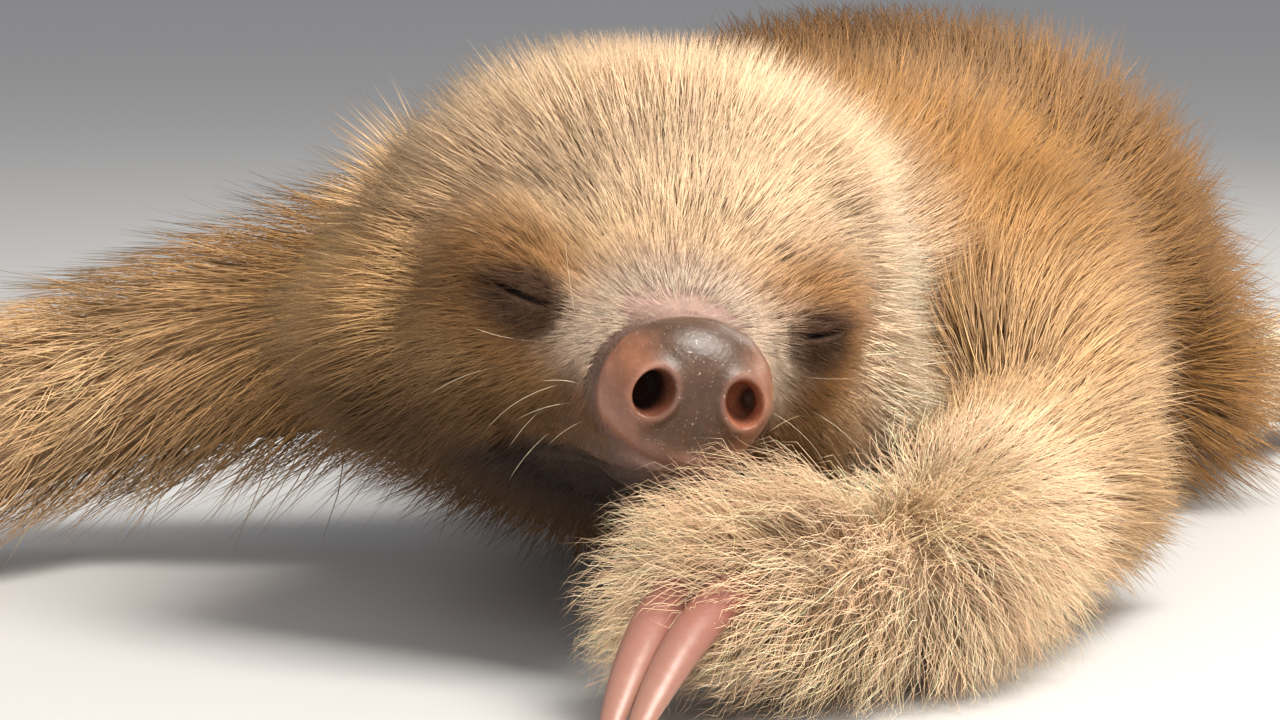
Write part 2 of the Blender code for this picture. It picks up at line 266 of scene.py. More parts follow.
NECK_RADIUS = 29
HEAD_VOXEL, SKIN_VOXEL = 0.0014, 0.0018
FINE, MIDDLING = 48, 32
lumps = []
for place, radii in HEAD_LUMPS:
    lump(lumps, head_place(*place), radii, HEAD_TURN, FINE)
nape = head_place(0, 66, 2)
withers = floor_place(*SPINE[0][:3])
for t in np.linspace(0, 0.9, 10):
    lump(lumps, nape + (withers - nape) * t, (NECK_RADIUS,) * 3, STRAIGHT, MIDDLING)
lump(lumps, head_place(2.5, 59, 3.5), (31.5, 17, 26.5), HEAD_TURN, FINE)
head = one_object("head_flesh", lumps)
drawn_in(head, body_coat_depth, HEAD_VOXEL)

parts = [head]
COAT_ON_BACK = 9.0
COAT_UNDER = 2.5
SLICE_LENGTH = 16
for near_end, far_end in zip(SPINE, SPINE[1:]):
    for t in np.linspace(0, 1, 9):
        x, y, z, width, height = np.array(near_end) * (1 - t) + np.array(far_end) * t
        middle_up = z - (COAT_ON_BACK - COAT_UNDER) / 2
        flesh = (width - COAT_ON_BACK, SLICE_LENGTH, height - (COAT_ON_BACK + COAT_UNDER) / 2)
        lump(parts, floor_place(x, y, middle_up), flesh, STRAIGHT, MIDDLING)
for name, joints in LIMBS.items():
    root = np.array(joints[0])
    inner = np.array((*SPINE[2 if "arm" in name else 5][:3], root[3] * 0.9, 0))
    chain = [inner] + [np.array(joint) for joint in joints]
    for near_end, far_end in zip(chain, chain[1:]):
        count = 2 + int(np.linalg.norm(far_end[:3] - near_end[:3]) / 6)
        for t in np.linspace(0, 1, count):
            x, y, z, radius, _ = near_end * (1 - t) + far_end * t
            lump(parts, floor_place(x, y, z), (radius,) * 3, STRAIGHT)

# The bare nose pad with the swollen wings of its nostrils, the eyeballs under their lids, and the
# small round ears
NOSE_ASIDE = 0.8
NOSTRIL_APART = 5.1
EYE_ASIDE, EYE_BACK, EYE_UP = 15.6, 19.4, 6.0
EYE_RADIUS = 5.0
LID = 0.7
NOSTRIL_UP = -0.9
lump(parts, head_place(NOSE_ASIDE, 5.6, 0.1), (10.1, 6.2, 7.9), HEAD_TURN, FINE)
for side in (1, -1):
    wing_aside = NOSE_ASIDE + side * NOSTRIL_APART
    for place, radii in (
        ((wing_aside, 4.0, NOSTRIL_UP), (4.9, 5.0, 5.6)),
        ((side * EYE_ASIDE, EYE_BACK, EYE_UP), (EYE_RADIUS + LID,) * 3),
        # the brow and the cheekbone, which fill the socket behind the eye
        ((side * 15.0, 25.5, 8.5), (6.5, 7.5, 5.0)),
        ((side * 16.5, 27.0, 2.0), (5.5, 8.0, 7.0)),
    ):
        lump(parts, head_place(*place), radii, HEAD_TURN, MIDDLING)
EAR_FLARE = 25
for ear_aside, side in ((27.0, 1), (-22.0, -1)):
    ear_turn = HEAD_TURN @ np.array(Matrix.Rotation(math.radians(side * EAR_FLARE), 3, "Z"))
    lump(parts, head_place(ear_aside, 56, 9), (2.6, 6.0, 5.6), ear_turn, MIDDLING)
skin = one_object("skin", parts)
remeshed(skin, SKIN_VOXEL)
set_points(skin.data, relaxed(skin.data, mesh_points(skin.data), 5, 0.5))

# Only the outer surface is kept, and the face is divided finer, most of all the nose and the lids.
face = bmesh.new()
face.from_mesh(skin.data)
unseen = set(face.verts)
bodies = []
while unseen:
    reached = [unseen.pop()]
    for vert in reached:
        for edge in vert.link_edges:
            other = edge.other_vert(vert)
            if other in unseen:
                unseen.remove(other)
                reached.append(other)
    bodies.append(reached)
bodies.sort(key=len)
for crumb in bodies[:-1]:
    bmesh.ops.delete(face, geom=crumb, context="VERTS")


def near_features(points, muzzle_radius, nose_radius, eye_radius):
    left, back, up = head_frame(points).T
    muzzle = np.sqrt((left / 1.25) ** 2 + (back - 3) ** 2 + (up + 3) ** 2) < muzzle_radius
    pad = np.sqrt(left**2 + (back * 1.2) ** 2 + (up * 1.15) ** 2) < nose_radius
    eyes = np.zeros(len(points), bool)
    for side in (1, -1):
        gap = (left - side * EYE_ASIDE) ** 2 + (back - EYE_BACK) ** 2 + (up - EYE_UP) ** 2
        eyes |= np.sqrt(gap) < eye_radius
    return muzzle | pad | eyes


NOSE_RADIUS = 12
for muzzle_radius, eye_radius in ((24, 12), (17, 9.5), (0, 8)):
    places = np.array([vert.co for vert in face.verts])
    chosen = near_features(places, muzzle_radius, NOSE_RADIUS, eye_radius)
    for vert, inside in zip(face.verts, chosen):
        vert.tag = bool(inside)
    edges = [edge for edge in face.edges if edge.verts[0].tag and edge.verts[1].tag]
    bmesh.ops.subdivide_edges(face, edges=edges, cuts=1, use_grid_fill=True)
    bmesh.ops.triangulate(face, faces=[f for f in face.faces if len(f.verts) > 4])
    face.verts.ensure_lookup_table()
    places = np.array([vert.co for vert in face.verts])
    inside = near_features(places, muzzle_radius, NOSE_RADIUS, eye_radius)
    face.to_mesh(skin.data)
    places = relaxed(skin.data, places, 3, 0.5 * inside)
    for vert, place in zip(face.verts, places):
        vert.co = place
face.to_mesh(skin.data)
face.free()

# Pressed into the finer face: nostrils, the groove between them, the pad's rim, the mouth and its
# lip, the shut lids and the folds round them
points = mesh_points(skin.data)
left, back, up = head_frame(points).T
shift = np.zeros((len(points), 3))

aside = np.abs(left)
nose_left = left - NOSE_ASIDE
pad_reach = np.sqrt((nose_left / 10.4) ** 2 + ((up - 0.1) / 8.1) ** 2)
on_front = rise(6.5, 3.5, back)


def nostril_distance(side, nose_left, up):
    """Distance over the pad from one nostril's middle, less up and down than across."""
    over = up - NOSTRIL_UP
    return np.sqrt((nose_left - side * NOSTRIL_APART + side * 0.12 * over) ** 2 + (over * 0.84) ** 2)


# nostrils: round mouths that open forwards and a little sideways, each with a raised ring in a
# shallow dish
NOSTRIL_DEPTH = 4.4
NOSTRIL_SIDEWAYS = 1.7
for side in (1, -1):
    from_nostril = nostril_distance(side, nose_left, up)
    ring = ridge(from_nostril, 2.7, 0.5)
    dish = ridge(from_nostril, 4.3, 0.9) * rise(-2.5, 0.5, (nose_left * side) - NOSTRIL_APART)
    pit = rise(2.3, 1.45, from_nostril) + 0.5 * rise(1.5, 0.2, from_nostril)
    shift[:, 1] += (0.35 * dish - 0.26 * ring + NOSTRIL_DEPTH * pit) * on_front
    shift[:, 0] += side * NOSTRIL_SIDEWAYS * rise(2.0, 0.9, from_nostril) * on_front
# the groove down the middle of the pad, and the pad's edge, which stands over the muzzle
GROOVE_DEPTH = 0.35
EDGE_DEPTH = 0.7
groove = ridge(nose_left, 0, 0.6) * rise(-8.5, -7.0, up) * rise(1.5, -1.5, up)
shift[:, 1] += GROOVE_DEPTH * groove * on_front
shift[:, 1] += EDGE_DEPTH * (ridge(pad_reach, 1.12, 0.1) * rise(9, 6, back))

# the mouth: a line that runs back from under the nose and a lip that overhangs it
MOUTH_UP = -9.9
LINE_DEPTH, LIP_SWELL, CHIN_DEPTH = 1.0, 0.3, 0.3
mouth_up = MOUTH_UP - 0.1 * aside + 0.0035 * aside**2
along_mouth = rise(20, 17.5, aside) * rise(22, 18.5, back)
line = ridge(up, mouth_up, 0.5) * along_mouth
lip = ridge(up - mouth_up, 1.3, 0.9) * along_mouth
inwards = np.stack((-np.sign(left) * rise(2, 9, aside), 1 - 0.7 * rise(2, 9, aside), 0 * up), 1)
shift += inwards * (LINE_DEPTH * line - LIP_SWELL * lip)[:, None]
chin = ridge(up - mouth_up, -2.6, 1.3) * rise(9, 5, aside) * rise(8, 4, back)
shift += inwards * (CHIN_DEPTH * chin)[:, None]

# folds of skin across the bridge above the pad
for fold_up, depth in ((8.6, 0.45), (10.6, 0.3), (12.6, 0.18)):
    fold = ridge(up - fold_up + 0.018 * left**2, 0, 0.5) * rise(8.5, 5, aside)
    shift[:, 1] += depth * fold * rise(14, 11, back)

# lids: a slit that sags in the middle, the upper lid over it, and wrinkles round the eye
slit_line = np.zeros(len(points))
SLIT_DEPTH, UPPER_LID, LOWER_LID = 0.95, 0.3, 0.2
SLIT_SLOPE, SLIT_LOW, SLIT_SAG = 0.34, -0.4, 0.03
EYE_TURN = math.radians(38)
for side in (1, -1):
    across = (left - side * EYE_ASIDE) * side
    tall = up - EYE_UP - SLIT_SLOPE * across
    out = np.array((side * math.sin(EYE_TURN), -math.cos(EYE_TURN), 0))
    centre = np.array((side * EYE_ASIDE, EYE_BACK, EYE_UP))
    offset = np.stack((left, back, up), 1) - centre
    width = offset @ np.array((side * math.cos(EYE_TURN), math.sin(EYE_TURN), 0))
    outward = offset @ out
    here = rise(11, 7.5, np.linalg.norm(offset, axis=1)) * rise(-1, 1.5, outward)
    slit_up = SLIT_LOW + SLIT_SAG * width**2
    ends = rise(5.2, 4.2, width) * rise(-5.9, -4.9, width)
    slit = ridge(tall, slit_up, 0.3) * ends
    slit_line = np.maximum(slit_line, slit * here)
    upper = ridge(tall - slit_up, 0.75, 0.5) * ends
    lower = ridge(tall - slit_up, -0.7, 0.45) * ends
    shift += out * (here * (-SLIT_DEPTH * slit + UPPER_LID * upper + LOWER_LID * lower))[:, None]
    ring_reach = np.sqrt((width / 1.35) ** 2 + tall**2)
    for radius, depth in ((3.3, 0.16), (4.4, 0.2), (5.6, 0.16)):
        shift += out * (-here * depth * ridge(ring_reach, radius, 0.34))[:, None]

points = points + (shift @ HEAD_TURN.T) * MM
near = near_features(points, 20, 13, 11)
points = relaxed(skin.data, points, 1, 0.4 * near)
set_points(skin.data, points)
skin.data.shade_smooth()

# The animal's colouring, shared by the skin and the coat: golden tan, paler on the crown and hands,
# brown on the cheeks and flanks, dark round the eyes and on the jaw, with greyish hair at the muzzle.
# Painted shade darkens the cheeks, the lower muzzle, the flanks near the floor, the top of the back
# and the rump; painted light brightens the hands, the crown towards the animal's left, and the left
# edge of the head.
GOLDEN = (0.40, 0.20, 0.060)
# painted shade for the top of the back and the rump
PAINTED_BACK_SHADE = (0.25, 0.117, 0.032)
LIMB = (0.79, 0.515, 0.275)
TEMPLE = (0.72, 0.44, 0.20)
CREAM = (0.72, 0.51, 0.325)
# painted light for the far left edge of the head
PAINTED_EDGE_LIGHT = (0.95, 0.73, 0.53)
# the cheeks' brown, deepened by painted shade
CHEEK_AND_PAINTED_SHADE = (0.18, 0.092, 0.038)
# the flanks' browner colour, deepened by painted shade near the floor
FLANK_AND_PAINTED_SHADE = (0.30, 0.155, 0.058)
# the hands' pale colour, brightened beyond it by painted light
HAND_AND_PAINTED_LIGHT = (0.92, 0.63, 0.405)
MUZZLE = (0.80, 0.62, 0.47)
SHADED_MUZZLE = (0.24, 0.125, 0.062)
EYE_PATCH = (0.10, 0.050, 0.026)
BROW = (0.36, 0.175, 0.06)
JAW = (0.060, 0.038, 0.028)


def mixed(base, color, share):
    """A base colour with another one laid over it, by its share at each place."""
    return base + (np.array(color) - base) * np.clip(share, 0, 1)[:, None]


def eye_distance(points):
    """Distance from the nearer eye's slit, in millimetres, measured less along the slit."""
    left, back, up = head_frame(points).T
    nearest = np.full(len(points), 99.0)
    for side in (1, -1):
        across = left * side - 15.8
        tall = up - EYE_UP + 0.3 - 0.22 * across
        gap = (across / 1.25) ** 2 + ((back - 16) / 1.5) ** 2 + (tall / 0.9) ** 2
        nearest = np.minimum(nearest, np.sqrt(gap))
    return nearest


def slit_gap(points):
    """Distance from the nearer eye's slit line, in millimetres, or far beyond the slit's ends."""
    left, back, up = head_frame(points).T
    gap = np.full(len(points), 99.0)
    for side in (1, -1):
        across = (left - side * EYE_ASIDE) * side
        width = across * 0.79 + (back - EYE_BACK) * 0.62
        tall = up - EYE_UP - SLIT_SLOPE * across
        beside = np.abs(tall - SLIT_LOW - SLIT_SAG * width**2) + 2 * rise(4.0, 5.5, np.abs(width))
        gap = np.where((back < EYE_BACK + 2) & (left * side > 0), np.minimum(gap, beside), gap)
    return gap


def nose_distance(points):
    left, back, up = head_frame(points).T
    return np.sqrt((left - NOSE_ASIDE) ** 2 + (back - 5) ** 2 + (up + 1) ** 2)


def paw_distance(points):
    """Distance from the nearest wrist, palm or knuckles, in millimetres."""
    nearest = np.full(len(points), 99.0)
    for joints in LIMBS.values():
        for joint in joints[2:]:
            gap = np.linalg.norm(points - floor_place(*joint[:3]), axis=1) / MM
            nearest = np.minimum(nearest, gap)
    return nearest


SWEPT_BACK = np.array((0.4, 0.85, -0.25))
AT_WRIST = np.array((0.25, -0.35, -0.9))
TO_CLAWS = np.array((-0.95, -0.3, -0.45))
LIMB_LIES = {
    # the hair's way at a bone's start and at its end, and the shares of the bone between which it
    # turns. On the left arm it is swept back to the shoulder, from a parting at the wrist. Other
    # bones have hair that runs down them.
    ("arm_left", 0): (SWEPT_BACK, SWEPT_BACK, 0, 1),
    ("arm_left", 1): (SWEPT_BACK, AT_WRIST, 0.45, 1),
    ("arm_left", 2): (AT_WRIST, TO_CLAWS, 0, 0.8),
    ("arm_left", 3): (TO_CLAWS, TO_CLAWS, 0, 1),
    ("arm_right", 0): (np.array((-0.65, 0.5, -0.35)), np.array((-0.1, 0.15, -0.55)), 0.35, 1),
    ("leg_left", 0): (np.array((0.45, 0.7, -0.4)),) * 2 + (0, 1),
    ("leg_right", 0): (np.array((-0.45, 0.7, -0.4)),) * 2 + (0, 1),
}


def limb_place(points):
    """How far each place is a limb's and not the body's, how many joints down it is, and the way
    the hair lies and the coat's depth on the nearest bone."""
    nearest = np.full(len(points), 99.0)
    joint_number = np.zeros(len(points))
    depth = np.zeros(len(points))
    way = np.zeros((len(points), 3))
    for name, joints in LIMBS.items():
        for number, (one, two) in enumerate(zip(joints, joints[1:])):
            a, b = floor_place(*one[:3]), floor_place(*two[:3])
            share = np.clip((points - a) @ (b - a) / ((b - a) @ (b - a)), 0, 1)
            gap = np.linalg.norm(points - a - (b - a) * share[:, None], axis=1) / MM
            gap /= one[3] + (two[3] - one[3]) * share
            bone = (b - a) / np.linalg.norm(b - a)
            down_bone = bone + np.array((0, 0, -0.15))
            start_way, end_way, first, last = LIMB_LIES.get((name, number), (down_bone, down_bone, 0, 1))
            if (name, number) == ("arm_right", 0):
                end_way = bone * 0.6 + end_way
            lie = start_way + (end_way - start_way) * rise(first, last, share)[:, None]
            nearer = gap < nearest
            nearest = np.where(nearer, gap, nearest)
            joint_number = np.where(nearer, number + share, joint_number)
            depth = np.where(nearer, one[4] + (two[4] - one[4]) * share, depth)
            way = np.where(nearer[:, None], lie, way)
    skull_middle, skull_radii = np.array((2.5, 46, -1)), np.array((31, 27, 24))
    body = np.linalg.norm((head_frame(points) - skull_middle) / skull_radii, axis=1)
    neck = withers - nape
    along_neck = np.clip((points - nape) @ neck / (neck @ neck), 0, 1)
    off_neck = np.linalg.norm(points - nape - neck * along_neck[:, None], axis=1)
    body = np.minimum(body, off_neck / (20 * MM))
    for near_end, far_end in zip(SPINE, SPINE[1:]):
        for t in (0, 0.5, 1):
            x, y, z, width, height = np.array(near_end) * (1 - t) + np.array(far_end) * t
            flesh = np.array((width - COAT_ON_BACK, 18, height - (COAT_ON_BACK + COAT_UNDER) / 2)) * MM
            middle = floor_place(x, y, z - (COAT_ON_BACK - COAT_UNDER) / 2)
            body = np.minimum(body, np.linalg.norm((points - middle) / flesh, axis=1))
    return rise(-0.12, 0.18, body - nearest), joint_number, way, depth


def markings_and_painted_light(points):
    """The coat's colour at each place, with its painted light and shade, before the difference
    between one hair and the next.
    """
    left, back, up = head_frame(points).T
    height = points[:, 2] / MM
    reach = nose_distance(points)
    limb, joint_number, _, _ = limb_place(points)
    from_eye = eye_distance(points)
    head = rise(78, 58, back) * (1 - limb)
    color = np.tile(np.array(GOLDEN), (len(points), 1))
    behind = (points - BODY_SHIFT)[:, 1] / MM
    # painted shade: the top of the back darkened, and the rump at half strength
    on_back = rise(48, 66, height) * rise(76, 96, back)
    color = mixed(color, PAINTED_BACK_SHADE, np.maximum(on_back, 0.5 * rise(115, 150, behind)))
    color = mixed(color, LIMB, limb * rise(0.1, 1.3, joint_number) * rise(140, 110, behind))
    # browner and darker low on the body: the flank's own brown, deepened towards the floor by painted shade
    color = mixed(color, FLANK_AND_PAINTED_SHADE, rise(26, 8, height) * (1 - 0.7 * limb))
    # pale hands and paws, brightened by painted light where they lie in shade
    color = mixed(color, HAND_AND_PAINTED_LIGHT, rise(38, 18, paw_distance(points)) * limb)
    color = mixed(color, TEMPLE, head)
    # paler up the crown, the coat's own; the extra share towards the animal's left and past its far left edge
    # is painted light
    color = mixed(color, CREAM, head * rise(0, 17, up + 0.14 * left + 0.9 * np.maximum(left - 17, 0)))
    # painted light: the far left side of the head brightened where the lamps catch its coat
    color = mixed(color, PAINTED_EDGE_LIGHT, head * rise(17, 26, left) * rise(-18, -6, up))
    # brown cheeks, darkened further by painted shade, on all but the animal's far left side
    color = mixed(color, CHEEK_AND_PAINTED_SHADE, head * rise(4, -7, up) * rise(56, 38, back) * rise(26, 16, left))
    color = mixed(color, BROW, head * rise(13, 5, from_eye) * 0.9)
    color = mixed(color, SHADED_MUZZLE, head * rise(18, 12, reach) * rise(-9.5, -7, up))
    color = mixed(color, MUZZLE, head * rise(21, 13, reach) * rise(-4, 2.5, up + 0.1 * left))
    color = mixed(color, EYE_PATCH, head * rise(5.0, 2.7, from_eye + 0.5 * (left > 0)))
    jaw = rise(-7.0, -9.5, up + 0.1 * np.abs(left)) * rise(34, 22, back)
    return mixed(color, JAW, head * jaw)


def named_color(mesh, name, values):
    """Stores a colour at each point of a mesh, for its material to read."""
    attribute = mesh.color_attributes.new(name, "FLOAT_COLOR", "POINT")
    full = np.ones((len(values), 4), np.float32)
    full[:, :3] = values
    attribute.data.foreach_set("color", full.ravel())


def node(tree, kind, values=(), **settings):
    """A shader node with its settings, and values for its inputs by name or number."""
    made = tree.nodes.new(kind)
    for key, value in settings.items():
        setattr(made, key, value)
    for key, value in dict(values).items():
        if isinstance(value, bpy.types.NodeSocket):
            tree.links.new(value, made.inputs[key])
        else:
            made.inputs[key].default_value = value
    return made


def principled(name):
    material = bpy.data.materials.new(name)
    material.use_nodes = True
    return material, material.node_tree, material.node_tree.nodes["Principled BSDF"]


def grained(tree, scale, detail, roughness=0.5, distortion=0.0):
    """An uneven pattern that stays with the piece, finer at a larger scale."""
    place = node(tree, "ShaderNodeTexCoord").outputs["Object"]
    grain = {"Vector": place, "Scale": scale, "Detail": detail, "Roughness": roughness}
    return node(tree, "ShaderNodeTexNoise", grain | {"Distortion": distortion}).outputs["Fac"]


def painted_on(tree, name):
    """The colour that a mesh holds at each point, as named_color stored it."""
    return node(tree, "ShaderNodeAttribute", attribute_name=name).outputs["Color"]


def joined(tree, one, other, operation, kind="Math"):
    """Two values or colours, added or multiplied."""
    return node(tree, f"ShaderNode{kind}", {0: one, 1: other}, operation=operation).outputs[0]


def ranged(tree, value, low, high, new_low, new_high):
    """A value carried over from one range to another."""
    ends = {"Value": value, "From Min": low, "From Max": high, "To Min": new_low, "To Max": new_high}
    return node(tree, "ShaderNodeMapRange", ends).outputs["Result"]


def surfaced(tree, surface, color, rough, height, strength, depth):
    """Gives a finish its colour and roughness, and a relief with its strength and depth in metres."""
    relief = node(tree, "ShaderNodeBump", {"Height": height, "Strength": strength, "Distance": depth})
    tree.links.new(color, surface.inputs["Base Color"])
    tree.links.new(rough, surface.inputs["Roughness"])
    tree.links.new(relief.outputs["Normal"], surface.inputs["Normal"])


def see_through(surface, weight, radius):
    """Lets light into a finish, as far as its radius for red, green and blue in metres."""
    surface.inputs["Subsurface Weight"].default_value = weight
    surface.inputs["Subsurface Radius"].default_value = radius
    surface.inputs["Subsurface Scale"].default_value = 1.0


NOSE_SKIN = (0.070, 0.036, 0.021)
NOSE_RIM = (0.36, 0.17, 0.125)
NOSE_WING = (0.26, 0.105, 0.055)
# painted shade deep inside the nostrils
PAINTED_NOSTRIL_SHADE = (0.010, 0.004, 0.003)
# the nostril wall on the animal's right, darkened as painted shade
SHADED_NOSTRIL_WALL = (0.13, 0.042, 0.022)
# the nostril wall on the animal's left, brightened as painted light
LIT_WALL = (0.30, 0.105, 0.058)
BRIDGE = (0.29, 0.19, 0.155)
MUZZLE_SKIN = (0.12, 0.072, 0.056)
LID_SKIN = (0.075, 0.041, 0.026)
final_points = mesh_points(skin.data)
final_points[:, 2] = np.maximum(final_points[:, 2], 0)
set_points(skin.data, final_points)
left, back, up = head_frame(final_points).T
reach = nose_distance(final_points)
# the skin under the coat is darkened as painted shade, least near the bare nose
painted_shade_under_coat = 0.42 + 0.38 * rise(36, 22, reach)
color = markings_and_painted_light(final_points) * painted_shade_under_coat[:, None]
not_hand = limb_place(final_points)[0] < 0.5
color = mixed(color, MUZZLE_SKIN, rise(17, 13, reach) * not_hand * rise(-11.5, -9.5, up))
bridge = rise(5, 8, up) * rise(16, 13, up) * rise(10, 7, np.abs(left - NOSE_ASIDE))
color = mixed(color, BRIDGE, bridge * rise(21, 17, back))
pad_front = rise(6.5, 5, back)
pad = rise(1.14, 1.04, pad_reach)
color = mixed(color, NOSE_SKIN, pad * pad_front)
wing = rise(3.5, 7.5, np.abs(nose_left)) * pad_front * pad * rise(7, 3, up)
color = mixed(color, NOSE_WING, wing * 0.75)
rim = ridge(pad_reach, 1.0, 0.13) * pad_front * rise(4, -1, up)
color = mixed(color, NOSE_RIM, rim * (1 - 0.6 * rise(-3.5, -6.5, up)) * 0.8)
in_nostril = np.zeros(len(left))
for side in (1, -1):
    from_nostril = nostril_distance(side, nose_left, up)
    color = mixed(color, NOSE_RIM, ridge(from_nostril, 2.6, 0.35) * on_front * 0.3)
    in_nostril = np.maximum(in_nostril, rise(2.4, 2.1, from_nostril) * rise(6, 4, back))
# the nostril walls are lit and shaded copies: painted shade in the one on the animal's right, painted light
# in the one on its left; below, painted shade fills both deep inside, starting deeper in the lit one
color = mixed(color, SHADED_NOSTRIL_WALL, in_nostril * rise(1, -1, nose_left))
color = mixed(color, LIT_WALL, in_nostril * rise(-1, 1, nose_left))
color = mixed(color, PAINTED_NOSTRIL_SHADE, in_nostril * rise(1.4, 3.0, back - 2.2 * (nose_left > 0)))
color = mixed(color, LID_SKIN, rise(5.0, 3.0, eye_distance(final_points)))
# painted shade along the slit between the shut lids
color = mixed(color, (0.010, 0.006, 0.005), rise(0.08, 0.4, slit_line))
named_color(skin.data, "skin_color", color)


DRY_FLAKE = (0.55, 0.47, 0.40, 1)


def skin_material(name, roughness, specular, bump, flaky):
    """Living skin in the colours stored on it, painted shade included, blotched and finely wrinkled,
    with pores.
    """
    material, tree, surface = principled(name)
    blotches = grained(tree, 420, 4, 0.6)
    uneven = ranged(tree, blotches, 0.3, 0.7, 0.78, 1.2)
    mottled = joined(tree, painted_on(tree, "skin_color"), uneven, "MULTIPLY", "VectorMath")
    place = node(tree, "ShaderNodeTexCoord").outputs["Object"]
    pores = node(tree, "ShaderNodeTexVoronoi", {"Vector": place, "Scale": 1900, "Randomness": 1})
    wrinkles = grained(tree, 1300, 5, 0.65, 0.6)
    grain = joined(tree, pores.outputs["Distance"], wrinkles, "ADD")
    rough = ranged(tree, blotches, 0.3, 0.7, roughness * 0.85, roughness * 1.15)
    some = ranged(tree, grained(tree, 2600, 2, 0.7, 1.5), flaky, flaky + 0.04, 0, 0.6)
    worn = node(tree, "ShaderNodeMix", {"Factor": some, "A": mottled, "B": DRY_FLAKE}, data_type="RGBA")
    surfaced(tree, surface, worn.outputs[2], rough, grain, bump, 0.0004)
    if name == "moist_nose":
        see_through(surface, 0.08, (0.0024, 0.0009, 0.0005))
    surface.inputs["Specular IOR Level"].default_value = specular
    return material


skin.data.materials.append(skin_material("skin", 0.7, 0.15, 0.35, 0.72))
skin.data.materials.append(skin_material("moist_nose", 0.42, 0.42, 0.09, 0.66))
loops = numbers(skin.data.loops, "vertex_index", 1).ravel()
starts = numbers(skin.data.polygons, "loop_start", 1).ravel()
shiny = rise(1.1, 0.98, pad_reach) * rise(6.5, 5, back) > 0.5
shiny &= in_nostril * rise(1.2, 2.2, back) < 0.5
skin.data.polygons.foreach_set("material_index", shiny[loops[starts]].astype(np.int32))
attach(skin, "root")
LIMB_PARTS = ("upper_arm", "forearm", "hand", "thigh", "shank", "foot")
limb_nodes = [f"{part}_{side}" for side in ("left", "right") for part in LIMB_PARTS]
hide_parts("head", "snout", "lower_jaw", "nose", "neck", "trunk", "ear_left", "ear_right", *limb_nodes)

# ---------------------------------------------------------------- eyes
# The eyeballs, dark and wet, almost hidden by the shut lids. Each is a ball set in its socket,
# turned half sideways, so that only a damp line shows in the slit.
wet_eye, tree, surface = principled("wet_eye")
veins = grained(tree, 700, 3)
shade = node(tree, "ShaderNodeValToRGB", {"Fac": veins})
shade.color_ramp.elements[0].color = (0.008, 0.005, 0.004, 1)
shade.color_ramp.elements[1].color = (0.03, 0.017, 0.011, 1)
surfaced(tree, surface, shade.outputs["Color"], ranged(tree, veins, 0, 1, 0.12, 0.3), veins, 0.1, 0.0002)
EYEBALL_RADIUS = EYE_RADIUS - 1.1
for side, name in ((1, "left"), (-1, "right")):
    ball = []
    socket = head_place(side * (EYE_ASIDE - 0.3), EYE_BACK + 0.4, EYE_UP)
    lump(ball, socket, (EYEBALL_RADIUS,) * 3, HEAD_TURN, FINE)
    eyeball = one_object(f"eyeball_{name}", ball)
    eyeball.data.shade_smooth()
    eyeball.data.materials.append(wet_eye)
    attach(eyeball, "root")
    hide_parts(f"eye_{name}")

# ---------------------------------------------------------------- claws
# Horn hooks, two on each hand and three on each foot: pinkish brown and dull at the root, paler and
# a little see-through at the tip. Each grows from the end of a toe, a little wider than tall.
horn, tree, surface = principled("claw_horn")
along = node(tree, "ShaderNodeAttribute", attribute_name="along").outputs["Fac"]
streaks = grained(tree, 900, 4, 0.6)
graded = joined(tree, along, joined(tree, streaks, 0.35, "MULTIPLY"), "ADD")
shade = node(tree, "ShaderNodeValToRGB", {"Fac": graded})
shade.color_ramp.elements[0].position = 0.1
shade.color_ramp.elements[0].color = (0.11, 0.042, 0.028, 1)
shade.color_ramp.elements[1].position = 1.0
shade.color_ramp.elements[1].color = (0.29, 0.145, 0.105, 1)
shade.color_ramp.elements.new(0.45).color = (0.23, 0.086, 0.066, 1)
surfaced(tree, surface, shade.outputs["Color"], ranged(tree, streaks, 0, 1, 0.25, 0.5), streaks, 0.25, 0.0002)
see_through(surface, 0.2, (0.002, 0.0008, 0.0004))
CLAW_RADIUS = 2.6
CLAW_WIDTH = 1.08
CLAW_UNDERSIDE = 0.85
CLAW_ARCH = 3.2
PAWS = {
    # each paw's limb, its knuckles' height, its heading, number of claws, their length, the step
    # between them, and the share of the step by which their tips lean together
    "hand_left": ("arm_left", 14.5, -112, 2, 29, 6.6, 0.6),
    "hand_right": ("arm_right", 11, -116, 2, 29, 6.6, 0.6),
    "foot_left": ("leg_left", 10, 78, 3, 19, 5.8, 0.0),
    "foot_right": ("leg_right", 10, 106, 3, 19, 5.8, 0.0),
}
